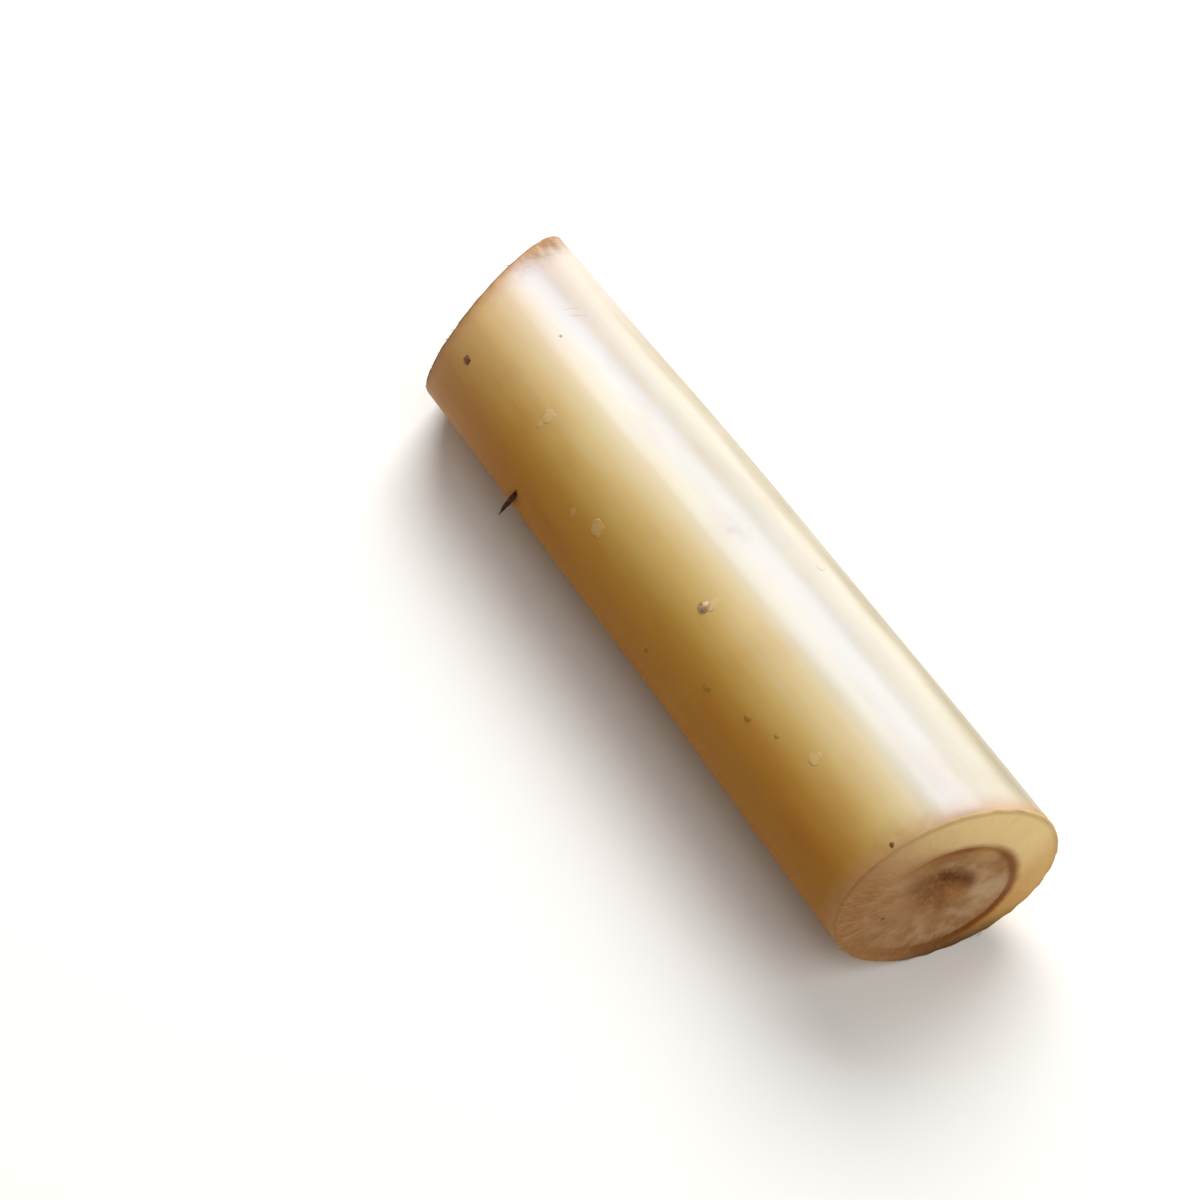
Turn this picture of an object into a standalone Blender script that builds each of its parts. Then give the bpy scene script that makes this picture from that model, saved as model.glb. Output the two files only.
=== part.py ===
"""A cut length of banana stem, lying on its side.

Units are metres. The stem lies along X on the plane z = 0. The cut end that shows its ring best is at +X. It is one
solid: a turned cylinder with a loop of points on the brown ring of each cut end, which is then shaped by formulas.
"""
import math

import bmesh
import bpy
from mathutils import Vector, noise

# Driving dimensions
LENGTH = 0.213
NEAR_RADIUS = 0.0300
FAR_RADIUS = 0.0281
SWELL = 0.0003
BOW = 0.0006
FOOT_DEPTH = 0.0006

# How far each cut leans, as the rise of x over y and over z
NEAR_LEAN = (0.206, -0.132)
FAR_LEAN = (-0.340, 0.257)

# The brown ring on a cut end, as shares of the radius; turns are measured from +Y towards +Z
RING_RADIUS = 0.68
RING_OFFSET = 0.17
RING_OFFSET_TURN = math.radians(240)
RING_DEPTH = 0.0010
RING_HALF_WIDTH = 0.06
RING_FADED_TURN = math.radians(150)
RING_FADED_HALF = math.radians(58)

# The soft pit in the middle of a cut end
PIT_CENTRE = (-0.02, 0.06)
PIT_RADIUS = 0.36
PIT_DEPTH = 0.0022

# Ridges that run out from the middle, the fraying of the rim, and the unevenness of the skin. A noise repeats about
# once in its length, and the ridges' noise is read round a circle of RIDGE_SPREAD, so about 30 fit round the end.
RIDGE_SPREAD = 5
RIDGE_HEIGHT = 0.0006
RIM_ROUND = 0.0005
RIM_FRAY = 0.0003
RIM_FRAY_LENGTH = 0.0033
SKIN_WAVE = 0.0003
SKIN_WAVE_LENGTH = 0.06

# Points round the stem, along it, and out from the middle of a cut to its rim, where RING_LOOP is on the ring
SIDES = 84
RING_LOOP = 0.68
CAP_LOOPS = (0.13, 0.26, 0.39, 0.52, 0.63, RING_LOOP, 0.72, 0.83, 0.93, 0.975)
SIDE_STATIONS = 24
RIM_STATION = 0.0012
MERGE = 1e-6

FLESH_COLOUR = (0.72, 0.60, 0.36, 1.0)
FLESH_ROUGHNESS = 0.38
SHARP_EDGE = math.radians(50)


def clear_scene():
    for obj in list(bpy.data.objects):
        bpy.data.objects.remove(obj, do_unlink=True)


def smooth_step(value):
    value = min(max(value, 0.0), 1.0)
    return value * value * (3 - 2 * value)


def bump(distance, half_width):
    """One at no distance, falling smoothly to nothing at half_width."""
    return smooth_step(1 - abs(distance) / half_width)


def angle_between(a, b):
    return abs(math.remainder(a - b, 2 * math.pi))


def ring_reach(turn):
    """Distance from the axis to the ring at a turn, as a share of the radius: a circle set off the axis."""
    away = turn - RING_OFFSET_TURN
    return RING_OFFSET * math.cos(away) + math.sqrt(RING_RADIUS**2 - (RING_OFFSET * math.sin(away)) ** 2)


def ring_strength(turn):
    """The ring is a sharp groove on one side and fades out on the other."""
    return 1 - bump(angle_between(turn, RING_FADED_TURN), RING_FADED_HALF)


def radius_at(along):
    return NEAR_RADIUS + (FAR_RADIUS - NEAR_RADIUS) * along + SWELL * math.sin(math.pi * along)


def centre_at(along):
    """The axis bows a little sideways, and lies so that the underside touches z = 0."""
    return BOW * math.sin(math.pi * along), radius_at(along) - FOOT_DEPTH


def skin_wave(along, turn):
    place = Vector((along * LENGTH / SKIN_WAVE_LENGTH, math.cos(turn), math.sin(turn)))
    return SKIN_WAVE * noise.noise(place)


def face_relief(reach, turn):
    """Height of a cut end above its plane, at a share of the radius from the axis."""
    ring = ring_reach(turn)
    groove = RING_DEPTH * ring_strength(turn) * bump(reach - ring, RING_HALF_WIDTH)
    y = reach * math.cos(turn) - PIT_CENTRE[0]
    z = reach * math.sin(turn) - PIT_CENTRE[1]
    pit = PIT_DEPTH * bump(math.hypot(y, z), PIT_RADIUS)
    across = reach / ring if reach < ring else (reach - ring) / (1 - ring)
    spread = Vector((math.cos(turn), math.sin(turn), 0)) * RIDGE_SPREAD
    ridge = RIDGE_HEIGHT * noise.noise(spread) * reach * math.sin(math.pi * across)
    return ridge - groove - pit


def cap_point(loop, turn):
    """Share of the radius of a loop of points, with the loops drawn in or out so that one lies on the ring."""
    ring = ring_reach(turn)
    if loop <= RING_LOOP:
        return ring * loop / RING_LOOP
    return ring + (1 - ring) * (loop - RING_LOOP) / (1 - RING_LOOP)


def cut_plane(lean, y, z):
    """How far past the middle of its cut a point of the end lies, y and z being measured from the axis."""
    return lean[0] * y + lean[1] * z


def turned_blank():
    """A cylinder of unit length and radius, from x = 0 to x = -1, with closed ends, as one turned profile."""
    rim = RIM_STATION / LENGTH
    stations = [rim + (1 - 2 * rim) * i / (SIDE_STATIONS - 1) for i in range(SIDE_STATIONS)]
    profile = [(0, loop) for loop in (0, *CAP_LOOPS, 1)]
    profile += [(-station, 1) for station in stations]
    profile += [(-1, loop) for loop in (1, *reversed(CAP_LOOPS), 0)]
    bm = bmesh.new()
    points = [bm.verts.new((x, reach, 0)) for x, reach in profile]
    edges = [bm.edges.new(ends) for ends in zip(points, points[1:])]
    bmesh.ops.spin(
        bm, geom=points + edges, cent=(0, 0, 0), axis=(1, 0, 0), angle=2 * math.pi, steps=SIDES, use_merge=True
    )
    bmesh.ops.remove_doubles(bm, verts=bm.verts, dist=MERGE)
    bmesh.ops.recalc_face_normals(bm, faces=bm.faces)
    return bm


def shaped(blank):
    """Where a point of the blank goes on the stem."""
    along = -blank.x
    loop = math.hypot(blank.y, blank.z)
    turn = math.atan2(blank.z, blank.y)
    on_cap = loop < 1 - MERGE
    on_rim = not on_cap and (along < MERGE or along > 1 - MERGE)
    reach = cap_point(loop, turn) if on_cap else 1
    radius = reach * (radius_at(along) + skin_wave(along, turn))
    if on_rim:
        radius -= RIM_ROUND
    y, z = radius * math.cos(turn), radius * math.sin(turn)
    near = cut_plane(NEAR_LEAN, y, z)
    far = cut_plane(FAR_LEAN, y, z) - LENGTH
    x = near + (far - near) * along
    outwards = 1 if along < 0.5 else -1
    if on_cap:
        x += outwards * face_relief(reach, turn)
    if on_rim:
        fray = RIM_FRAY * noise.noise(Vector((y, z, along)) / RIM_FRAY_LENGTH)
        x += outwards * (fray - RIM_ROUND)
    centre = centre_at(along)
    return Vector((x, centre[0] + y, max(centre[1] + z, 0)))


def lay_on_origin(bm):
    """Moves the stem so that the middle of its box is over the origin."""
    for axis in (0, 1):
        places = [vert.co[axis] for vert in bm.verts]
        middle = (min(places) + max(places)) / 2
        for vert in bm.verts:
            vert.co[axis] -= middle


def flesh_material():
    material = bpy.data.materials.new("pale stem flesh")
    material.use_nodes = True
    shader = material.node_tree.nodes["Principled BSDF"]
    shader.inputs["Base Color"].default_value = FLESH_COLOUR
    shader.inputs["Roughness"].default_value = FLESH_ROUGHNESS
    shader.inputs["Metallic"].default_value = 0.0
    return material


def build_stem(collection):
    bm = turned_blank()
    for vert in bm.verts:
        vert.co = shaped(vert.co.copy())
    lay_on_origin(bm)
    bmesh.ops.triangulate(bm, faces=bm.faces)
    mesh = bpy.data.meshes.new("stem")
    bm.to_mesh(mesh)
    bm.free()
    mesh.shade_smooth()
    mesh.set_sharp_from_angle(angle=SHARP_EDGE)
    mesh.materials.append(flesh_material())
    stem = bpy.data.objects.new("stem", mesh)
    collection.objects.link(stem)


def main():
    clear_scene()
    collection = bpy.data.collections.new("banana stem")
    bpy.context.scene.collection.children.link(collection)
    build_stem(collection)


main()
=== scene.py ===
"""The looks of a cut length of banana stem, lying on a pale floor.

The finished stem is one closed body, turned on a bmesh and then shaped by the same measures as the solid
it stands for, with much finer relief on its two cut ends. Small separate pieces sit on it: brown scabs,
pimples, pale blisters with one pale dome that is a painted highlight beside the wart, a wart, two
scratches, a dry sliver, and the fibres that the knife pulled out of the rims.
"""
import math
import random

import bmesh
import bpy
from mathutils import Matrix, Vector, noise
from mathutils.bvhtree import BVHTree


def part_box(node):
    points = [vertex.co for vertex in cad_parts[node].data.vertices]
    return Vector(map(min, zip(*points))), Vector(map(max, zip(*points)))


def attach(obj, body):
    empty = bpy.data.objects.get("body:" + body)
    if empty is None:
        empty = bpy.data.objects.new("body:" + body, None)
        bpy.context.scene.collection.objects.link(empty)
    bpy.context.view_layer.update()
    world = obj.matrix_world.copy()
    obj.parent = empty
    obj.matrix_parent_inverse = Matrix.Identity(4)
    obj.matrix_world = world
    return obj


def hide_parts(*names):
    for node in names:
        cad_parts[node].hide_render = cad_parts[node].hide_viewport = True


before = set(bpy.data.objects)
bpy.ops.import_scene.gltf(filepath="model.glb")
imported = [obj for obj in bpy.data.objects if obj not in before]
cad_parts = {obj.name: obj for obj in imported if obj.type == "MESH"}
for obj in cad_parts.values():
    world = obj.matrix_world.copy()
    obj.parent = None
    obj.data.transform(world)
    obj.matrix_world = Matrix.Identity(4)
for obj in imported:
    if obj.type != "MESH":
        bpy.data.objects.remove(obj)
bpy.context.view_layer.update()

# Measures of the stem, in metres, as its solid has them
LENGTH = 0.213
NEAR_RADIUS = 0.0300
FAR_RADIUS = 0.0281
SWELL = 0.0003
BOW = 0.0006
FOOT_DEPTH = 0.0006
NEAR_LEAN = (0.206, -0.132)
FAR_LEAN = (-0.340, 0.257)
SKIN_WAVE = 0.0003
SKIN_WAVE_LENGTH = 0.06
FLUTE_SPREAD = 7
FLUTE_HEIGHT = 0.00006

# A place on the middle line, and two directions that materials measure along
AXIS_PLACE = (0.0, 0.0, 0.0285)
TOWARDS_FAR_END = (-1.0, 0.0, 0.0)
UP_THE_CUT = (-0.1, 1.0, 0.0)

# The brown ring on a cut end, as shares of the radius; turns are measured from +Y towards +Z
RING_RADIUS = 0.68
RING_OFFSET = 0.17
RING_OFFSET_TURN = math.radians(240)
RING_CRISP_TURN = math.radians(350)
RING_CRISP_HALF = math.radians(170)
RING_DEPTH = 0.0006
RING_HALF_WIDTH = 0.035
RING_STEP = 0.0003
RING_STEP_WIDTH = 0.05
RING_WOBBLE = 0.012
RING_WOBBLE_SPREAD = 2.5

# The torn pit in the middle of a cut end, with the small hole and the flap of tissue beside it
PIT_CENTRE = (-0.02, 0.06)
PIT_RADIUS = 0.36
PIT_DEPTH = 0.0020
PIT_TEAR = 0.0011
TEAR_SPREAD = 11
FINE_TEAR_SPREAD = 38
HOLE_PLACE = (0.165, -0.045)
HOLE_RADIUS = 0.085
HOLE_DEPTH = 0.0014
FLAP_PLACE = (0.085, -0.135)
FLAP_RADIUS = 0.10
FLAP_HEIGHT = 0.0006

# The brown patch round the pit: its middle, the two ways it lies, and half its length and width
PATCH_MIDDLE = (-0.08, 0.04, 0.0)
PATCH_LONG_WAY = (-0.27, 0.963, 0.0)
PATCH_SHORT_WAY = (0.963, 0.27, 0.0)
PATCH_HALF_LENGTH = 0.46
PATCH_HALF_WIDTH = 0.29

# Fine relief of the cut ends
RIDGE_SPREAD = 5
RIDGE_HEIGHT = 0.0006
FIBRE_SPREAD = 26
FIBRE_HEIGHT = 0.00014
GRAIN_SPREAD = 60
GRAIN_HEIGHT = 0.00007
FAR_END_SEED = 31.0
RIM_ROUND = 0.0007
RIM_FRAY = 0.0003
RIM_FRAY_LENGTH = 0.0033
RIM_FRAY_REACH = 0.08
RIM_FRAY_DEPTH = 0.004

# Points round the stem, along it, out from the middle of each cut, and round the small marks
SIDES = 320
NEAR_LOOPS = 84
FAR_LOOPS = 56
SIDE_STATIONS = 144
RIM_STEPS = 4
RING_LOOP = 0.68
MERGE = 1e-7
DOME_SEGMENTS = 28
DOME_RINGS = 14
THREAD_SIDES = 8

# The photograph's frame and the camera that took it
FRAME_SIZE = 1200
LENS_PIXELS = 2600
SENSOR = 36.0
CAMERA_AZIMUTH = math.radians(57.0)
CAMERA_ELEVATION = math.radians(59.0)
CAMERA_DISTANCE = 0.6852
AIM_FROM_NEAR_CUT = Vector((-0.11654, -0.02678, 0.0))

# The studio
WINDOW_DISTANCE = 1.6
WINDOW_POWER = 29.0
WINDOW_TOWARDS = (-0.43, 0.51, 0.74)
SUN_POWER = 1.15
SUN_TOWARDS = (0.46, 0.15, 0.87)
SUN_SPREAD = math.radians(50)
SKY_COLOUR = (1.0, 0.95, 0.88, 1)
SKY_STRENGTH = 0.22
FLOOR_HALF = 6.0

# The skin's tones, by how far it faces up and away from the window, as linear values. They hold its own cream
# and gold, with painted shade on them: darker, deeper gold down the flank and underside, dimmed and greyed
# under the band of gloss, and darker again where the skin turns furthest towards +Y.
SKIN_TONES_WITH_PAINTED_SHADE = (
    (-0.88, (0.37, 0.165, 0.026)),
    (-0.64, (0.46, 0.205, 0.030)),
    (-0.40, (0.54, 0.33, 0.075)),
    (-0.12, (0.61, 0.44, 0.17)),
    (0.20, (0.75, 0.64, 0.40)),
    (0.44, (0.50, 0.52, 0.55)),
    (0.58, (0.52, 0.53, 0.53)),
    (0.72, (0.63, 0.61, 0.55)),
    (0.86, (0.72, 0.685, 0.58)),
    (0.97, (0.34, 0.29, 0.17)),
)

# Soft spots on a cut end, as shares of the radius: the middle, the outer and the inner reach, the most of
# the tone that shows, and the tone
CUT_SPOTS = (
    ((-0.22, 0.48), 0.30, 0.04, 0.35, (158, 106, 54)),
    ((-0.27, 0.18), 0.20, 0.02, 0.45, (108, 62, 24)),
    ((0.09, 0.08), 0.20, 0.03, 0.34, (92, 50, 16)),
    ((0.34, 0.32), 0.24, 0.04, 0.4, (208, 168, 104)),
    ((0.40, -0.27), 0.26, 0.06, 0.5, (206, 176, 138)),
    (HOLE_PLACE, 0.17, 0.03, 0.7, (92, 40, 10)),
    (FLAP_PLACE, 0.16, 0.02, 0.5, (184, 124, 58)),
)

# Small marks, each by its pixel in the photograph's frame and its width in metres
SCABS = (
    ("far flank", (467, 360), 0.0027),
    ("near rim", (892, 845), 0.0014),
    ("cut end", (883, 919), 0.0013),
)
PIMPLES = (
    ("flank, upper", (646, 651), 0.0016),
    ("flank, middle", (707, 688), 0.0024),
    ("flank, lower", (748, 718), 0.0021),
    ("flank, lowest", (777, 736), 0.0014),
    ("below the gloss", (561, 336), 0.0009),
)
BLISTERS_AND_PAINTED_HIGHLIGHT = (
    ("far shoulder", (549, 417), 0.0040),
    ("far shoulder, lower", (541, 424), 0.0026),
    ("middle", (598, 529), 0.0044),
    ("beside the middle", (573, 513), 0.0026),
    ("near shoulder", (815, 759), 0.0034),
    # A pale dome put where the wart's highlight is: a painted highlight
    ("painted highlight beside the wart", (713, 604), 0.0034),
    ("shoulder", (821, 567), 0.0030),
)
WART = ("wart", (704, 607), 0.0034)
SCRATCHES = (((557, 310), (589, 307)), ((563, 316), (592, 315)))
SLIVER_TIP = (517, 490)
SLIVER_FOOT = (499, 514)
SLIVER_POINTS = 14
SLIVER_THICKNESS = 0.0011
SPLINTER_THICKNESS = 0.0007
SPLINTER_SHIFT = Vector((0.0008, 0, 0.0003))
SCRATCH_POINTS = 10
SCRATCH_THICKNESS = 0.00010
SCRATCH_SINK = 0.00004
SCUFF_PLACE = (735, 528)
SCUFF_RADIUS = 0.0055
SCUFF_STAIN = 0.3
SCUFF_SPREAD = 420

# Stains on the skin behind a rim: the end, the turn in the middle of the stain, half its spread,
# its depth, and how strong its colour is
STAINS = (
    ("near", math.radians(112), math.radians(50), 0.011, 0.32),
    ("near", math.radians(165), math.radians(60), 0.006, 0.32),
    ("far", math.radians(50), math.radians(60), 0.0105, 1.0),
    ("far", math.radians(110), math.radians(200), 0.0035, 0.7),
)

# The fibres pulled out of the rims: how many, the points of each, where they start, and their sizes
RIM_FIBRES = 46
RIM_FIBRE_POINTS = 6
RIM_FIBRE_START = 0.985
RIM_FIBRE_SINK = 0.0003
RIM_FIBRE_REACH = 0.25
RIM_FIBRE_LENGTHS = (0.0008, 0.0024)
RIM_FIBRE_THICKNESSES = (0.00008, 0.00014)


def tone(red, green, blue):
    """A colour as the eye reads it, 0 to 255, as the linear values that a shader takes."""
    def linear(level):
        level /= 255
        return level / 12.92 if level <= 0.04045 else ((level + 0.055) / 1.055) ** 2.4

    return (linear(red), linear(green), linear(blue), 1.0)


def smooth_step(value):
    value = min(max(value, 0.0), 1.0)
    return value * value * (3 - 2 * value)


def bump(distance, half_width):
    """One at no distance, falling smoothly to nothing at half_width."""
    return smooth_step(1 - abs(distance) / half_width)


def angle_between(a, b):
    return abs(math.remainder(a - b, 2 * math.pi))


def ring_reach(turn):
    """Distance from the axis to the ring at a turn, as a share of the radius: a circle set off the axis."""
    away = turn - RING_OFFSET_TURN
    around = Vector((math.cos(turn), math.sin(turn), 7.0))
    wobble = RING_WOBBLE * noise.noise(around * RING_WOBBLE_SPREAD)
    circle = RING_OFFSET * math.cos(away) + math.sqrt(RING_RADIUS**2 - (RING_OFFSET * math.sin(away)) ** 2)
    return circle + wobble


def ring_strength(turn):
    """The ring is a sharp groove on one side and fades out on the other."""
    return min(1.5 * bump(angle_between(turn, RING_CRISP_TURN), RING_CRISP_HALF), 1)


def radius_at(along):
    return NEAR_RADIUS + (FAR_RADIUS - NEAR_RADIUS) * along + SWELL * math.sin(math.pi * along)


def centre_at(along):
    return BOW * math.sin(math.pi * along), radius_at(along) - FOOT_DEPTH


def cut_plane(lean, y, z):
    return lean[0] * y + lean[1] * z


def cap_point(loop, turn):
    """Share of the radius of a loop of points, the loops being drawn in or out to put one on the ring."""
    ring = ring_reach(turn)
    if loop <= RING_LOOP:
        return ring * loop / RING_LOOP
    return ring + (1 - ring) * (loop - RING_LOOP) / (1 - RING_LOOP)


def skin_relief(along, turn):
    """Slow waves in the skin, and very shallow flutes that follow its fibres."""
    around = Vector((0, math.cos(turn), math.sin(turn)))
    wave = noise.noise(around + Vector((along * LENGTH / SKIN_WAVE_LENGTH, 0, 0)))
    flute = noise.noise(around * FLUTE_SPREAD + Vector((along * 2.2, 0, 3.0)))
    return SKIN_WAVE * wave + FLUTE_HEIGHT * flute


def face_relief(reach, turn, seed):
    """Height of a cut end above its plane, at a share of the radius from the axis."""
    ring = ring_reach(turn)
    strength = ring_strength(turn)
    y, z = reach * math.cos(turn), reach * math.sin(turn)
    around = Vector((math.cos(turn), math.sin(turn), seed))
    flat = Vector((y, z, seed))

    groove = RING_DEPTH * strength * bump(reach - ring, RING_HALF_WIDTH)
    step = RING_STEP * strength * (1 - smooth_step((reach - ring) / RING_STEP_WIDTH + 0.5))

    inside = bump(math.hypot(y - PIT_CENTRE[0], z - PIT_CENTRE[1]), PIT_RADIUS)
    tears = noise.fractal(flat * TEAR_SPREAD, 0.9, 2.1, 4)
    torn = inside * PIT_TEAR * (tears + 0.5 * noise.noise(flat * FINE_TEAR_SPREAD))
    pit = PIT_DEPTH * inside
    hole = HOLE_DEPTH * bump(math.hypot(y - HOLE_PLACE[0], z - HOLE_PLACE[1]), HOLE_RADIUS)
    from_flap = math.hypot((y - FLAP_PLACE[0]) * 0.7, (z - FLAP_PLACE[1]) * 1.3)
    flap = FLAP_HEIGHT * bump(from_flap, FLAP_RADIUS)

    across = reach / ring if reach < ring else (reach - ring) / (1 - ring)
    rib = math.sin(math.pi * min(across, 1.0)) * reach
    ridge_place = Vector((around.x, around.y, 0)) * RIDGE_SPREAD + Vector((0, 0, seed))
    ridge = RIDGE_HEIGHT * noise.noise(ridge_place) * rib
    fibre_place = around * FIBRE_SPREAD + Vector((0, 0, reach * 3))
    fibre = FIBRE_HEIGHT * noise.noise(fibre_place) * min(reach * 1.3, 1) ** 2
    grain = GRAIN_HEIGHT * noise.noise(flat * GRAIN_SPREAD)
    return ridge + fibre + grain - groove - step - pit - torn - hole + flap


def turned_blank():
    """A cylinder of unit length and radius, from x = 0 to x = -1, with closed ends and rounded rims."""
    round_x, round_reach = RIM_ROUND / LENGTH, RIM_ROUND / NEAR_RADIUS
    arc = [math.pi / 2 * i / RIM_STEPS for i in range(RIM_STEPS + 1)]
    rim = [(round_x * (1 - math.cos(a)), 1 - round_reach * (1 - math.sin(a))) for a in arc]
    flat = 1 - round_reach
    profile = [(0, flat * i / NEAR_LOOPS) for i in range(NEAR_LOOPS)]
    profile += [(-x, reach) for x, reach in rim]
    profile += [(-round_x - (1 - 2 * round_x) * i / SIDE_STATIONS, 1) for i in range(1, SIDE_STATIONS)]
    profile += [(x - 1, reach) for x, reach in reversed(rim)]
    profile += [(-1, flat * i / FAR_LOOPS) for i in reversed(range(FAR_LOOPS))]
    bm = bmesh.new()
    points = [bm.verts.new((x, reach, 0)) for x, reach in profile]
    edges = [bm.edges.new(ends) for ends in zip(points, points[1:])]
    bmesh.ops.spin(
        bm, geom=points + edges, cent=(0, 0, 0), axis=(1, 0, 0),
        angle=2 * math.pi, steps=SIDES, use_merge=True,
    )
    bmesh.ops.remove_doubles(bm, verts=bm.verts, dist=MERGE)
    bmesh.ops.recalc_face_normals(bm, faces=bm.faces)
    return bm


def shaped(blank, near_middle):
    """Where a point of the blank goes on the stem, and what a material reads there."""
    along = -blank.x
    loop = math.hypot(blank.y, blank.z)
    turn = math.atan2(blank.z, blank.y)
    reach = cap_point(loop, turn) if loop < 1 - MERGE else 1
    radius = reach * radius_at(along)
    radius += reach * skin_relief(along, turn)
    y, z = radius * math.cos(turn), radius * math.sin(turn)
    near = cut_plane(NEAR_LEAN, y, z)
    far = cut_plane(FAR_LEAN, y, z) - LENGTH
    x = near + (far - near) * along
    outwards, seed = (1, 0.0) if along < 0.5 else (-1, FAR_END_SEED)
    from_cut = min(along, 1 - along) * (near - far)
    end = bump(from_cut, RIM_FRAY_DEPTH)
    if end > 0:
        inner = 1 - smooth_step((reach - 0.90) / 0.10)
        on_face = inner if reach < 1 else 0
        uneven = noise.noise(Vector((y, z, along)) / RIM_FRAY_LENGTH)
        fray = RIM_FRAY * uneven * bump(1 - reach, RIM_FRAY_REACH)
        x += outwards * (face_relief(reach, turn, seed) * on_face + fray * end)
    centre = centre_at(along)
    place = Vector((near_middle.x + x, near_middle.y + centre[0] + y, max(centre[1] + z, 0)))
    ring_gap = (reach - ring_reach(turn)) * NEAR_RADIUS
    return place, {
        "from_cut": from_cut, "reach": reach, "ring_gap": ring_gap,
        "ring_strength": ring_strength(turn), "fan_y": math.cos(turn), "fan_z": math.sin(turn),
    }


def near_cut_middle():
    """The middle of the near cut, found from the solid's box: the cut's leaning rim reaches past it."""
    low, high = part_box("stem")
    x = high.x - NEAR_RADIUS * math.hypot(*NEAR_LEAN)
    return Vector((x, (low.y + high.y) / 2, NEAR_RADIUS - FOOT_DEPTH))


def camera_axes():
    """The camera's place, and the unit vectors to its right, up and forward."""
    back = Vector((
        math.sin(CAMERA_AZIMUTH) * math.cos(CAMERA_ELEVATION),
        -math.cos(CAMERA_AZIMUTH) * math.cos(CAMERA_ELEVATION),
        math.sin(CAMERA_ELEVATION),
    ))
    right = Vector((math.cos(CAMERA_AZIMUTH), math.sin(CAMERA_AZIMUTH), 0))
    place = near_cut_middle() + AIM_FROM_NEAR_CUT + back * CAMERA_DISTANCE
    return place, right, back.cross(right), -back


def sight_line(pixel):
    """The camera's place, and the direction in which it sees a pixel of the photograph's frame."""
    place, right, up, forward = camera_axes()
    across, down = pixel[0] - FRAME_SIZE / 2, pixel[1] - FRAME_SIZE / 2
    return place, (forward * LENS_PIXELS + right * across - up * down).normalized()


def seen_at(tree, pixel):
    """The point and the normal of the stem at a pixel of the photograph's frame."""
    place, ray = sight_line(pixel)
    point, normal, _, _ = tree.ray_cast(place, ray)
    return point, normal


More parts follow.
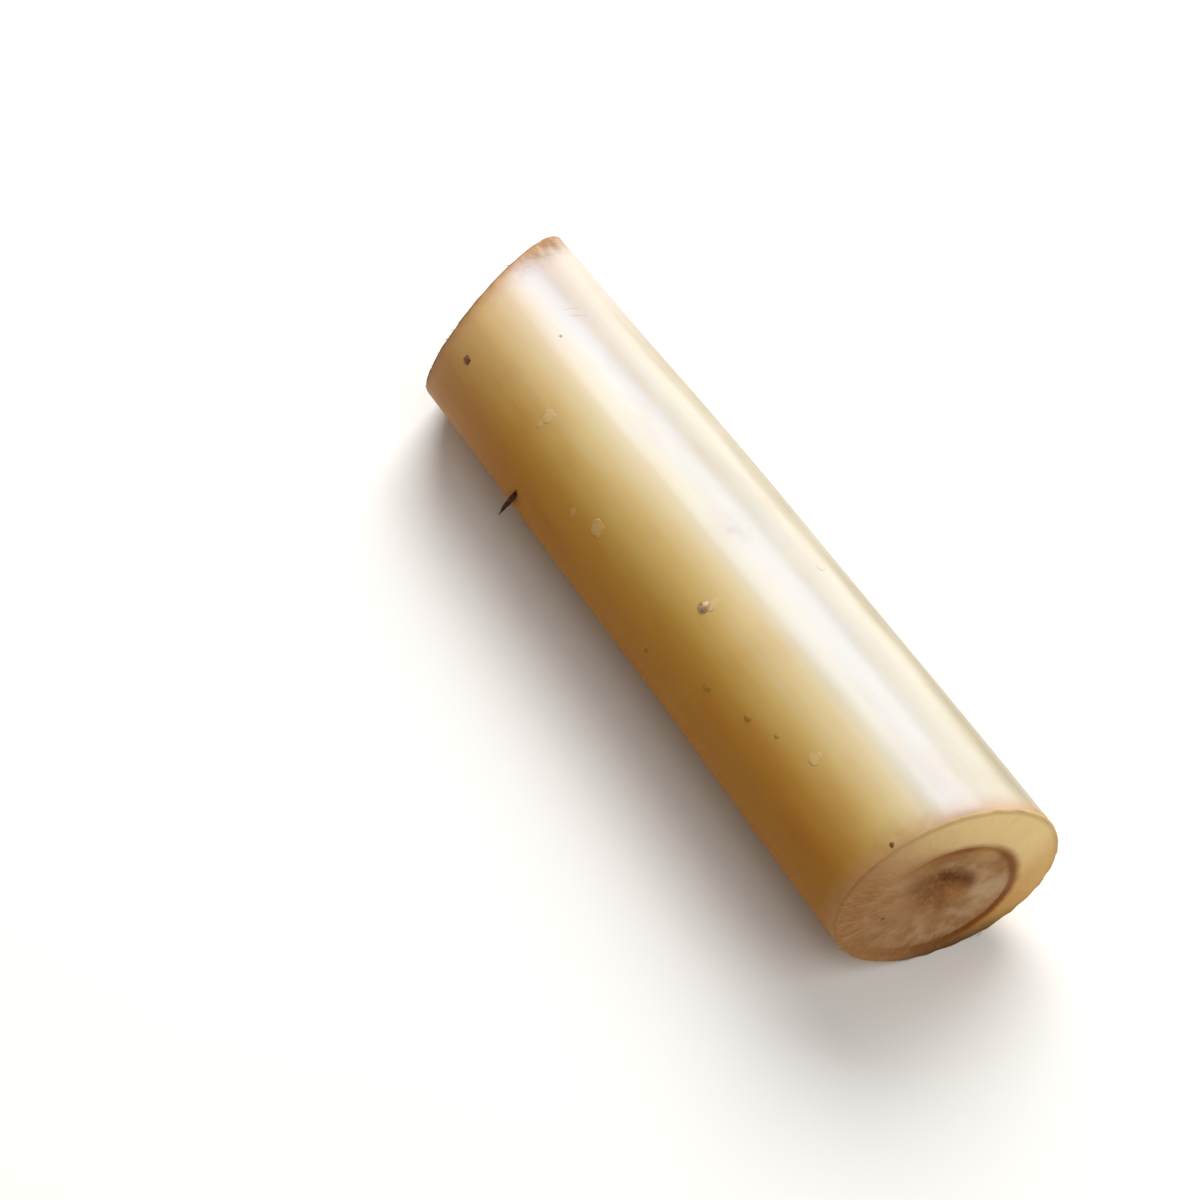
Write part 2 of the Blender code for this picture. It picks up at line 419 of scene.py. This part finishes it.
class Recipe:
    """A material that is put together node by node."""

    def __init__(self, name):
        self.material = bpy.data.materials.new(name)
        self.material.use_nodes = True
        self.tree = self.material.node_tree
        self.shader = self.tree.nodes["Principled BSDF"]

    def put(self, socket, value):
        """Wires a socket to another node's output, or sets it to a constant."""
        if isinstance(value, bpy.types.NodeSocket):
            self.tree.links.new(value, socket)
        else:
            socket.default_value = value

    def add(self, kind, **settings):
        made = self.tree.nodes.new(kind)
        for name, value in settings.items():
            setattr(made, name, value)
        return made

    def place(self, stretch=(1, 1, 1), shift=(0, 0, 0)):
        """Object coordinates in metres, stretched."""
        source = self.add("ShaderNodeTexCoord")
        mapping = self.add("ShaderNodeMapping")
        self.put(mapping.inputs["Vector"], source.outputs["Object"])
        self.put(mapping.inputs["Scale"], stretch)
        self.put(mapping.inputs["Location"], shift)
        return mapping.outputs["Vector"]

    def reading(self, name):
        return self.add("ShaderNodeAttribute", attribute_name=name).outputs["Fac"]

    def noise(self, vector, scale, detail=3.0, roughness=0.55):
        made = self.add("ShaderNodeTexNoise")
        self.put(made.inputs["Vector"], vector)
        self.put(made.inputs["Scale"], scale)
        self.put(made.inputs["Detail"], detail)
        self.put(made.inputs["Roughness"], roughness)
        return made.outputs["Fac"]

    def reckon(self, operation, a, b=0.0):
        made = self.add("ShaderNodeMath", operation=operation)
        self.put(made.inputs[0], a)
        self.put(made.inputs[1], b)
        return made.outputs["Value"]

    def times(self, first, *others):
        for other in others:
            first = self.reckon("MULTIPLY", first, other)
        return first

    def swayed(self, value, wander, amount):
        """The value, moved up and down by a noise that wanders about a half."""
        return self.reckon("ADD", value, self.times(self.reckon("SUBTRACT", wander, 0.5), amount))

    def span(self, value, low, high, to_low=0.0, to_high=1.0):
        """The value's place between low and high, eased at both ends."""
        made = self.add("ShaderNodeMapRange", interpolation_type="SMOOTHSTEP")
        for name, given in zip(("Value", "From Min", "From Max", "To Min", "To Max"),
                               (value, low, high, to_low, to_high)):
            self.put(made.inputs[name], given)
        return made.outputs["Result"]

    def mix(self, factor, a, b, kind="MIX"):
        made = self.add("ShaderNodeMix", data_type="RGBA", blend_type=kind)
        self.put(made.inputs[0], factor)
        self.put(made.inputs[6], a)
        self.put(made.inputs[7], b)
        return made.outputs[2]

    def ramp(self, value, low, high, stops):
        """Colours along a value, each at its own place between low and high."""
        place = self.add("ShaderNodeMapRange")
        for name, given in zip(("Value", "From Min", "From Max"), (value, low, high)):
            self.put(place.inputs[name], given)
        made = self.add("ShaderNodeValToRGB")
        made.color_ramp.interpolation = "B_SPLINE"
        self.put(made.inputs["Fac"], place.outputs["Result"])
        elements = made.color_ramp.elements
        while len(elements) < len(stops):
            elements.new(0.5)
        for element, (at, shade) in zip(elements, stops):
            element.position = (at - low) / (high - low)
            element.color = (*shade, 1.0)
        return made.outputs["Color"]

    def vector(self, x, y, z):
        made = self.add("ShaderNodeCombineXYZ")
        for name, value in zip("XYZ", (x, y, z)):
            self.put(made.inputs[name], value)
        return made.outputs["Vector"]

    def dot(self, vector, direction, start=(0.0, 0.0, 0.0)):
        """How far a vector reaches past start, along a direction."""
        moved = self.add("ShaderNodeVectorMath", operation="SUBTRACT")
        self.put(moved.inputs[0], vector)
        self.put(moved.inputs[1], start)
        made = self.add("ShaderNodeVectorMath", operation="DOT_PRODUCT")
        self.put(made.inputs[0], moved.outputs["Vector"])
        self.put(made.inputs[1], direction)
        return made.outputs["Value"]

    def spot(self, flat, centre, outer, inner, most):
        """A soft round spot on a cut end: nothing at its outer reach, the most at its inner one."""
        made = self.add("ShaderNodeVectorMath", operation="DISTANCE")
        self.put(made.inputs[0], flat)
        self.put(made.inputs[1], (*centre, 0.0))
        return self.span(made.outputs["Value"], outer, inner, 0.0, most)

    def side_of(self, direction):
        """From -1 to 1: how far a point of the stem lies towards a direction from its middle line."""
        source = self.add("ShaderNodeTexCoord")
        shares = tuple(value / NEAR_RADIUS for value in direction)
        return self.dot(source.outputs["Object"], shares, AXIS_PLACE)

    def raise_by(self, height, distance, strength=1.0, under=None):
        made = self.add("ShaderNodeBump")
        self.put(made.inputs["Height"], height)
        self.put(made.inputs["Distance"], distance)
        self.put(made.inputs["Strength"], strength)
        if under is not None:
            self.put(made.inputs["Normal"], under)
        return made.outputs["Normal"]

    def finish(self, colour, roughness, normal, **constants):
        self.put(self.shader.inputs["Base Color"], colour)
        self.put(self.shader.inputs["Roughness"], roughness)
        self.put(self.shader.inputs["Normal"], normal)
        for name, value in constants.items():
            self.shader.inputs[name.replace("_", " ")].default_value = value
        return self.material


def turned_to(turn_degrees):
    """A direction across the stem, from +Y towards +Z."""
    turn = math.radians(turn_degrees)
    return (0.0, math.cos(turn), math.sin(turn))


def across_cut(turn_degrees):
    """A direction across the stem, in the flat coordinates of a cut end."""
    _, y, z = turned_to(turn_degrees)
    return (y, z, 0.0)


def waxy_skin():
    """Cream where the stem faces up, golden on its flank and underside, with painted shade that darkens the
    flank and dims the colour under the gloss, fine fibres and bruised rims.
    """
    r = Recipe("waxy skin")
    drift = r.noise(r.place((6, 40, 40)), 1.0)
    facing = r.swayed(r.side_of(turned_to(20)), drift, 0.3)
    patches = r.noise(r.place((26, 55, 55), (4, 8, 1)), 1.0, detail=2.0)
    facing = r.swayed(facing, patches, 0.16)
    # The ramp paints shade: darker, deeper gold down the flank, and dimmed, greyed colour under the band of
    # gloss
    colour = r.ramp(facing, -1, 1, SKIN_TONES_WITH_PAINTED_SHADE)
    under = r.span(r.side_of(turned_to(280)), 0.35, 0.95)
    colour = r.mix(under, colour, tone(222, 184, 116))

    # Paler and pinker towards the far end
    shade = r.span(facing, 0.1, -0.5)
    towards_far = r.dot(r.place(), TOWARDS_FAR_END)
    colour = r.mix(r.span(towards_far, 0.03, 0.11), colour, tone(251, 241, 243), "MULTIPLY")
    tip = r.span(towards_far, 0.045, 0.115)
    colour = r.mix(r.times(tip, shade, 0.45), colour, tone(208, 176, 142))
    colour = r.mix(r.times(tip, r.span(facing, 0.5, 0.8, 0.0, 0.6)), colour, tone(214, 198, 188))

    # Streaks along the fibres, a pink blush and a green one
    fibre = r.noise(r.place((9, 900, 900)), 1.0, detail=4.0)
    broad = r.noise(r.place((5, 220, 220)), 1.0, detail=2.0)
    streak = r.reckon("ADD", r.times(fibre, 0.5), r.times(broad, 0.5))
    colour = r.mix(r.span(streak, 0.35, 0.7, 0.0, 0.4), colour, tone(206, 172, 120), "SOFT_LIGHT")
    blush = r.noise(r.place((30, 70, 70), (3, 1, 2)), 1.0, detail=3.0)
    colour = r.mix(r.span(blush, 0.48, 0.78, 0.0, 0.3), colour, tone(238, 204, 184), "MULTIPLY")
    green = r.noise(r.place((18, 60, 60), (9, 4, 7)), 1.0, detail=2.0)
    colour = r.mix(r.span(green, 0.55, 0.75, 0.0, 0.16), colour, tone(232, 232, 190), "MULTIPLY")

    # Bruises behind the rims, and the pale tops of blisters, one of them a painted highlight beside the wart
    ragged = r.noise(r.place((420, 340, 340)), 1.0, detail=3.0)
    stain = r.times(r.reading("stain"), r.span(ragged, 0.3, 0.65, 0.4, 1.0))
    colour = r.mix(stain, colour, tone(100, 72, 34))
    colour = r.mix(r.reading("pale"), colour, tone(244, 226, 196))
    edge = r.swayed(r.reading("from_cut"), ragged, 0.0025)
    colour = r.mix(r.span(edge, 0.0072, 0.0004, 0.0, 0.52), colour, tone(196, 146, 104))
    colour = r.mix(r.span(edge, 0.0010, 0.0001, 0.0, 0.35), colour, tone(196, 156, 104))

    roughness = r.span(r.noise(r.place((14, 260, 260), (1, 5, 2)), 1.0), 0.3, 0.75, 0.42, 0.56)
    normal = r.raise_by(fibre, 0.00006, 0.35)
    normal = r.raise_by(broad, 0.00016, 0.3, normal)
    gloss = r.times(r.span(facing, -0.5, 0.2, 0.0, 0.9), r.span(edge, 0.0005, 0.004))
    r.put(r.shader.inputs["Coat Weight"], r.times(gloss, r.span(stain, 0.0, 0.7, 1.0, 0.1)))
    return r.finish(
        colour, roughness, normal, Subsurface_Weight=0.05, Subsurface_Radius=(1.0, 0.8, 0.5),
        Subsurface_Scale=0.002, Coat_Roughness=0.27, IOR=1.42, Specular_IOR_Level=0.04,
    )


def cut_flesh():
    """The cut end: creamy outside the brown ring, with painted light and shade across it, pinkish tan inside
    it, dark and torn in the middle, with painted shade on its rim and along its bottom edge.
    """
    r = Recipe("cut flesh")
    reach, ring_gap, strength = r.reading("reach"), r.reading("ring_gap"), r.reading("ring_strength")
    fan = r.vector(r.reading("fan_y"), r.reading("fan_z"), r.times(reach, 0.35))
    flat = r.vector(r.times(r.reading("fan_y"), reach), r.times(r.reading("fan_z"), reach), 0.0)

    # Outside the ring, painted light and shade: pale cream towards the upper right, where light grazes the
    # cut, and dark tan towards the lower left
    side = r.side_of(turned_to(35))
    outer = r.mix(r.span(side, -0.4, 0.9), tone(164, 116, 68), tone(248, 216, 152))
    mottle = r.noise(flat, 5.0, detail=2.0, roughness=0.5)
    inner = r.mix(r.span(mottle, 0.36, 0.64), tone(160, 118, 74), tone(186, 147, 106))
    inside = r.times(r.span(ring_gap, 0.0012, -0.0012), r.span(strength, 0.0, 0.5, 0.45, 1.0))
    colour = r.mix(inside, outer, inner)

    # Rays, and finer streaks between them, both strongest on the side where the ring fades
    rays = r.noise(fan, 12.0, detail=4.0, roughness=0.6)
    fine = r.noise(fan, 34.0, detail=2.0)
    soft = r.times(r.span(side, -0.6, 0.3, 1.0, 0.18), r.span(reach, 0.25, 0.6))
    colour = r.mix(r.times(r.span(rays, 0.46, 0.78, 0.0, 0.24), soft), colour, tone(222, 184, 144))
    colour = r.mix(r.times(r.span(rays, 0.54, 0.22, 0.0, 0.3), soft), colour, tone(150, 98, 52))
    colour = r.mix(r.times(r.span(fine, 0.50, 0.68, 0.0, 0.2), soft), colour, tone(214, 180, 142))
    colour = r.mix(r.times(r.span(fine, 0.50, 0.32, 0.0, 0.2), soft), colour, tone(136, 92, 54))

    # The ring: a brown line, with a soft halo inside it
    gap = r.swayed(ring_gap, r.noise(r.place((200, 200, 200)), 1.0), 0.0010)
    halo = r.times(r.span(gap, 0.0008, -0.0010), r.span(gap, -0.0066, -0.0008))
    halo = r.times(halo, r.span(r.dot(flat, UP_THE_CUT), 0.0, 0.5, 0.35, 0.75))
    colour = r.mix(r.times(halo, r.span(strength, 0.0, 0.4)), colour, tone(146, 96, 42))
    line = r.times(r.span(gap, 0.0030, 0.0005), r.span(gap, -0.0019, -0.0003), strength)
    colour = r.mix(r.times(line, 0.85), colour, tone(136, 74, 12))

    # The torn middle
    along_patch = r.times(r.dot(flat, PATCH_LONG_WAY, PATCH_MIDDLE), 1 / PATCH_HALF_LENGTH)
    across_patch = r.times(r.dot(flat, PATCH_SHORT_WAY, PATCH_MIDDLE), 1 / PATCH_HALF_WIDTH)
    squares = r.reckon("ADD", r.times(along_patch, along_patch), r.times(across_patch, across_patch))
    blotch = r.noise(flat, 8.0, detail=4.0, roughness=0.65)
    patch = r.swayed(r.reckon("SQRT", squares), blotch, 0.9)
    colour = r.mix(r.span(patch, 1.1, 0.35, 0.0, 0.74), colour, tone(126, 78, 32))
    specks = r.times(r.span(r.noise(flat, 22.0, detail=2.0), 0.55, 0.68, 0.0, 0.5), r.span(patch, 1.0, 0.6))
    colour = r.mix(specks, colour, tone(196, 132, 92))
    for centre, outer_reach, inner_reach, most, shade in CUT_SPOTS:
        colour = r.mix(r.spot(flat, centre, outer_reach, inner_reach, most), colour, tone(*shade))

    # The edge of the cut, with painted shade on its rim and along its bottom
    lower = r.span(r.dot(flat, across_cut(322)), 0.45, 0.8)
    band = r.times(r.span(ring_gap, 0.0004, 0.0016), lower, 0.55)
    colour = r.mix(band, colour, tone(214, 160, 78))
    # The rim's tones are painted shade: dark tan on the lower left, and a dimmed tan on top that tones down
    # the highlight the rounded rim catches
    rim = r.mix(r.span(side, -0.3, 0.3), tone(166, 120, 70), tone(180, 150, 108))
    colour = r.mix(r.span(reach, 0.93, 0.985, 0.0, 0.5), colour, rim)
    far_rim = r.span(r.dot(r.place(), TOWARDS_FAR_END), 0.05, 0.06)
    colour = r.mix(r.times(r.span(reach, 0.975, 0.99, 0.0, 0.7), far_rim), colour, tone(126, 96, 62))
    # Painted shade along the bottom edge of the cut: dark brown standing in for the contact shadow, with some
    # real dirt of the cut edge
    low = r.span(r.dot(flat, across_cut(278)), 0.70, 1.0)
    colour = r.mix(r.times(low, 0.85), colour, tone(88, 58, 25))

    roughness = r.span(rays, 0.3, 0.7, 0.5, 0.7)
    cells = r.add("ShaderNodeTexVoronoi", feature="DISTANCE_TO_EDGE")
    r.put(cells.inputs["Vector"], r.place((900, 900, 900)))
    normal = r.raise_by(r.span(cells.outputs["Distance"], 0.0, 0.3), 0.00006, 0.4)
    normal = r.raise_by(rays, 0.0005, 0.4, normal)
    normal = r.raise_by(mottle, 0.0012, 0.4, normal)
    return r.finish(
        colour, roughness, normal, Subsurface_Weight=0.1, Subsurface_Radius=(1.0, 0.7, 0.4),
        Subsurface_Scale=0.002, IOR=1.40, Specular_IOR_Level=0.12,
    )


def plain_finish(name, light, dark, scale, roughness, gloss=0.2, shine=0.5):
    """A small piece's finish: two tones in a fine mottle."""
    r = Recipe(name)
    mottle = r.noise(r.place((scale, scale, scale)), 1.0, detail=4.0)
    colour = r.mix(r.span(mottle, 0.35, 0.65), dark, light)
    normal = r.raise_by(mottle, 0.00015, 0.5)
    uneven = r.span(mottle, 0.3, 0.7, roughness - 0.08, roughness + 0.08)
    return r.finish(
        colour, uneven, normal, Coat_Weight=gloss, Coat_Roughness=0.2, Specular_IOR_Level=shine,
    )


def piece_from(bm, name, *materials):
    """Makes a finished piece that rides with the stem, with the finishes that it is given."""
    mesh = bpy.data.meshes.new(name)
    bm.to_mesh(mesh)
    mesh.shade_smooth()
    for material in materials:
        mesh.materials.append(material)
    piece = bpy.data.objects.new(name, mesh)
    bpy.context.scene.collection.objects.link(piece)
    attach(piece, "root")
    return piece


def stain_at(near_end, turn, from_cut):
    """How stained the skin is, from 0 to 1, at a turn and a distance from the cut."""
    strength = 0.0
    for end, middle, half, depth, most in STAINS:
        if (end == "near") == near_end:
            strength = max(strength, most * bump(angle_between(turn, middle), half) * bump(from_cut, depth))
    return strength


def build_stem(skin_finish):
    """The stem, with cut flesh on its ends and their rounded rims. Returns a tree that finds its surface."""
    bm = turned_blank()
    skin_starts = 1 - RIM_ROUND / NEAR_RADIUS / 40
    for face in bm.faces:
        middle = face.calc_center_median()
        face.material_index = 1 if math.hypot(middle.y, middle.z) < skin_starts else 0
    near_middle = near_cut_middle()
    readings = []
    for vert in bm.verts:
        along, turn = -vert.co.x, math.atan2(vert.co.z, vert.co.y)
        vert.co, reading = shaped(vert.co.copy(), near_middle)
        reading["stain"] = stain_at(along < 0.5, turn, reading["from_cut"])
        readings.append(reading)
    tree = BVHTree.FromBMesh(bm)
    stem = piece_from(bm, "banana_stem_body", skin_finish, cut_flesh())
    scuff = seen_at(tree, SCUFF_PLACE)[0]
    for vert, reading in zip(bm.verts, readings):
        away = vert.co - scuff
        torn = 0.5 + noise.noise(vert.co * SCUFF_SPREAD)
        scuffed = SCUFF_STAIN * torn * bump(math.hypot(away.x * 0.7, away.y, away.z), SCUFF_RADIUS)
        reading["stain"] = max(reading["stain"], scuffed)
    for name in readings[0]:
        layer = stem.data.attributes.new(name, "FLOAT", "POINT")
        layer.data.foreach_set("value", [reading[name] for reading in readings])
    bm.free()
    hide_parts("stem")
    return tree


def lying_on(point, normal, twist=0.0):
    """The matrix that lays a shape made round Z on the stem, at a point and turned about its normal."""
    turn = normal.to_track_quat("Z", "Y").to_matrix().to_4x4()
    return Matrix.Translation(point) @ turn @ Matrix.Rotation(twist, 4, "Z")


def add_dome(bm, place, width, height, ragged, dice):
    """A low dome with an uneven edge, its foot sunk a little into what it lies on."""
    made = bmesh.ops.create_uvsphere(
        bm, u_segments=DOME_SEGMENTS, v_segments=DOME_RINGS, radius=0.5,
    )["verts"]
    seed = Vector((dice.random(), dice.random(), dice.random())) * 40
    for vert in made:
        uneven = 1 + ragged * noise.noise(vert.co * 2.5 + seed)
        rise = 4 * height * abs(vert.co.z) * (1 + 0.5 * noise.noise(vert.co * 5 + seed))
        vert.co = Vector((vert.co.x * width * uneven, vert.co.y * width * uneven, vert.co.z * rise))
    bmesh.ops.transform(bm, matrix=place, verts=made)


def read_as_skin(piece, **readings):
    """Gives a small piece the readings that the skin's material looks for, so that it matches the skin."""
    for name, value in readings.items():
        layer = piece.data.attributes.new(name, "FLOAT", "POINT")
        layer.data.foreach_set("value", [value] * len(piece.data.vertices))


def build_domes(tree, name, table, steep, ragged, seed, finish, paler=0.0, **readings):
    """One piece of low domes, one for each row of a table of marks, paler towards their tops where asked."""
    bm = bmesh.new()
    dice = random.Random(seed)
    for _, pixel, width in table:
        point, normal = seen_at(tree, pixel)
        add_dome(bm, lying_on(point, normal, dice.uniform(0, 3)), width, width * steep, ragged, dice)
    piece = piece_from(bm, name, finish)
    read_as_skin(piece, **readings)
    layer = piece.data.attributes.new("pale", "FLOAT", "POINT")
    for vert, value in zip(bm.verts, layer.data):
        surface, normal, _, _ = tree.find_nearest(vert.co)
        value.value = paler * smooth_step((vert.co - surface).dot(normal) / (table[0][2] * steep * 0.8))
    bm.free()


def add_thread(bm, path, thickness, flat=1.0, seed=0.0, fullness=0.6):
    """A thread along a path of points, tapered to both ends, closed, and as flat as asked."""
    rings = []
    last = len(path) - 1
    for i, point in enumerate(path):
        forward = (path[min(i + 1, last)] - path[max(i - 1, 0)]).normalized()
        share = i / last
        taper = 0.2 + 0.8 * math.sin(math.pi * share) ** fullness
        reach = thickness * taper * (1 + 0.3 * noise.noise((seed, share * 6, 0)))
        circle = bmesh.ops.create_circle(bm, segments=THREAD_SIDES, radius=reach)["verts"]
        bmesh.ops.scale(bm, vec=(1, flat, 1), verts=circle)
        bmesh.ops.transform(bm, matrix=lying_on(point, forward), verts=circle)
        rings.append(list({edge for vert in circle for edge in vert.link_edges}))
    for lower, upper in zip(rings, rings[1:]):
        bmesh.ops.bridge_loops(bm, edges=lower + upper)
    for ring in (rings[0], rings[-1]):
        bmesh.ops.contextual_create(bm, geom=ring)


def build_scratches(tree):
    """Two fine dry scratches across the skin near the far end."""
    bm = bmesh.new()
    for number, (start, end) in enumerate(SCRATCHES):
        path = []
        for i in range(SCRATCH_POINTS):
            share = i / (SCRATCH_POINTS - 1)
            pixel = [start[k] * (1 - share) + end[k] * share for k in (0, 1)]
            point, normal = seen_at(tree, pixel)
            path.append(point - normal * SCRATCH_SINK)
        add_thread(bm, path, SCRATCH_THICKNESS, seed=number)
    bmesh.ops.recalc_face_normals(bm, faces=bm.faces)
    finish = plain_finish("scratch", tone(214, 196, 162), tone(190, 168, 130), 700, 0.5)
    piece_from(bm, "skin_scratches", finish)
    bm.free()


def nearest_to_axis(pixel):
    """The point on a pixel's line of sight that passes closest to the middle line of the stem."""
    place, ray = sight_line(pixel)
    y, z = place.y, place.z - centre_at(0.5)[1]
    reach = -(ray.y * y + ray.z * z) / (ray.y**2 + ray.z**2)
    return place + ray * reach


def build_sliver(tree):
    """A dry brown sliver that clings to the flank, its lower end standing clear of the skin."""
    tip, foot = seen_at(tree, SLIVER_TIP)[0], nearest_to_axis(SLIVER_FOOT)
    path = []
    for i in range(SLIVER_POINTS):
        point = tip.lerp(foot, i / (SLIVER_POINTS - 1))
        surface, normal, _, _ = tree.find_nearest(point)
        lift = max((point - surface).dot(normal), 0.0004)
        path.append(surface + normal * lift)
    bm = bmesh.new()
    add_thread(bm, path, SLIVER_THICKNESS, flat=0.6, seed=4, fullness=1.2)
    splinter = [point + SPLINTER_SHIFT for point in path[1:9]]
    add_thread(bm, splinter, SPLINTER_THICKNESS, flat=0.6, seed=9)
    bmesh.ops.recalc_face_normals(bm, faces=bm.faces)
    finish = plain_finish("dry husk", tone(88, 50, 20), tone(34, 18, 8), 900, 0.8, gloss=0.0, shine=0.1)
    piece_from(bm, "dry_sliver", finish)
    bm.free()


def build_rim_fibres():
    """Short pale fibres that the knife pulled out of both rims."""
    near_middle = near_cut_middle()
    dice = random.Random(23)
    bm = bmesh.new()
    for number in range(RIM_FIBRES):
        turn = dice.uniform(0, 2 * math.pi)
        near_end = number % 2 == 0
        y, z = RIM_FIBRE_START * math.cos(turn), RIM_FIBRE_START * math.sin(turn)
        start, _ = shaped(Vector((0 if near_end else -1, y, z)), near_middle)
        outwards = Vector((1 if near_end else -1, 0, 0))
        along = Vector((0, -math.sin(turn), math.cos(turn))) * dice.choice((-1, 1))
        away = Vector((0, math.cos(turn), math.sin(turn)))
        length = dice.uniform(*RIM_FIBRE_LENGTHS)
        lean, lift = dice.uniform(0.3, 1.0), dice.uniform(0.0, 0.35)
        path = []
        for i in range(RIM_FIBRE_POINTS):
            share = i / (RIM_FIBRE_POINTS - 1)
            point = start - outwards * RIM_FIBRE_SINK + along * length * lean * share
            point += outwards * length * RIM_FIBRE_REACH * share
            point += away * length * lift * share**2
            path.append(Vector((point.x, point.y, max(point.z, 0.0002))))
        add_thread(bm, path, dice.uniform(*RIM_FIBRE_THICKNESSES), seed=number)
    bmesh.ops.recalc_face_normals(bm, faces=bm.faces)
    finish = plain_finish("pulled fibre", tone(232, 214, 168), tone(190, 150, 98), 800, 0.6, gloss=0.0)
    piece_from(bm, "rim_fibres", finish)
    bm.free()


def build_floor():
    """A plain pale floor, on which the stem casts its shadow."""
    bm = bmesh.new()
    bmesh.ops.create_grid(bm, x_segments=1, y_segments=1, size=FLOOR_HALF)
    mesh = bpy.data.meshes.new("floor")
    bm.to_mesh(mesh)
    bm.free()
    r = Recipe("pale floor")
    mottle = r.noise(r.place((3, 3, 3)), 1.0)
    colour = r.mix(mottle, tone(243, 243, 243), tone(247, 247, 247))
    normal = r.raise_by(mottle, 0.0005, 0.1)
    mesh.materials.append(r.finish(colour, 0.8, normal, Specular_IOR_Level=0.1))
    floor = bpy.data.objects.new("floor", mesh)
    bpy.context.scene.collection.objects.link(floor)


def add_light(name, kind, towards, strength, colour, **settings):
    """A light that shines from a direction, from WINDOW_DISTANCE away where its kind has a place."""
    light = bpy.data.lights.new(name, kind)
    light.energy, light.color = strength, colour
    for setting, value in settings.items():
        setattr(light, setting, value)
    obj = bpy.data.objects.new(name, light)
    towards = Vector(towards).normalized()
    obj.location = towards * WINDOW_DISTANCE + Vector((0, 0, NEAR_RADIUS))
    obj.rotation_mode = "QUATERNION"
    obj.rotation_quaternion = towards.to_track_quat("Z", "X")
    bpy.context.scene.collection.objects.link(obj)


def light_studio():
    """A wide window behind the far end gives the band of gloss; a soft sun reaches the near cut end."""
    add_light(
        "window", "AREA", WINDOW_TOWARDS, WINDOW_POWER, (1.0, 0.99, 0.97), shape="RECTANGLE",
        size=0.6 * WINDOW_DISTANCE, size_y=0.8 * WINDOW_DISTANCE,
    )
    add_light("high sun", "SUN", SUN_TOWARDS, SUN_POWER, (1.0, 0.98, 0.94), angle=SUN_SPREAD)
    world = bpy.data.worlds.new("studio")
    bpy.context.scene.world = world
    world.use_nodes = True
    sky = world.node_tree.nodes["Background"]
    sky.inputs["Color"].default_value = SKY_COLOUR
    sky.inputs["Strength"].default_value = SKY_STRENGTH


def place_camera():
    """The camera that took the photograph."""
    place, _, _, forward = camera_axes()
    data = bpy.data.cameras.new("camera")
    data.sensor_width = SENSOR
    data.lens = SENSOR * LENS_PIXELS / FRAME_SIZE
    camera = bpy.data.objects.new("camera", data)
    camera.location = place
    camera.rotation_mode = "QUATERNION"
    camera.rotation_quaternion = forward.to_track_quat("-Z", "Y")
    bpy.context.scene.collection.objects.link(camera)
    bpy.context.scene.camera = camera


place_camera()
light_studio()
build_floor()
skin_finish = waxy_skin()
skin = build_stem(skin_finish)
scab_finish = plain_finish("scab brown", tone(134, 84, 40), tone(80, 44, 20), 700, 0.55)
build_domes(skin, "brown_scabs", SCABS, steep=0.15, ragged=0.35, seed=11, finish=scab_finish)
build_domes(
    skin, "skin_pimples", PIMPLES, steep=0.16, ragged=0.3, seed=3, finish=skin_finish,
    from_cut=0.05, stain=0.42,
)
build_domes(
    skin, "pale_blisters_and_painted_highlight", BLISTERS_AND_PAINTED_HIGHLIGHT, steep=0.022, ragged=0.4, seed=5, finish=skin_finish,
    paler=0.14, from_cut=0.05,
)
wart_finish = plain_finish("wart", tone(198, 164, 120), tone(152, 116, 78), 600, 0.5, gloss=0.2)
build_domes(skin, "skin_wart", (WART,), steep=0.24, ragged=0.25, seed=8, finish=wart_finish)
build_scratches(skin)
build_sliver(skin)
build_rim_fibres()
bpy.context.scene.view_settings.view_transform = "Standard"
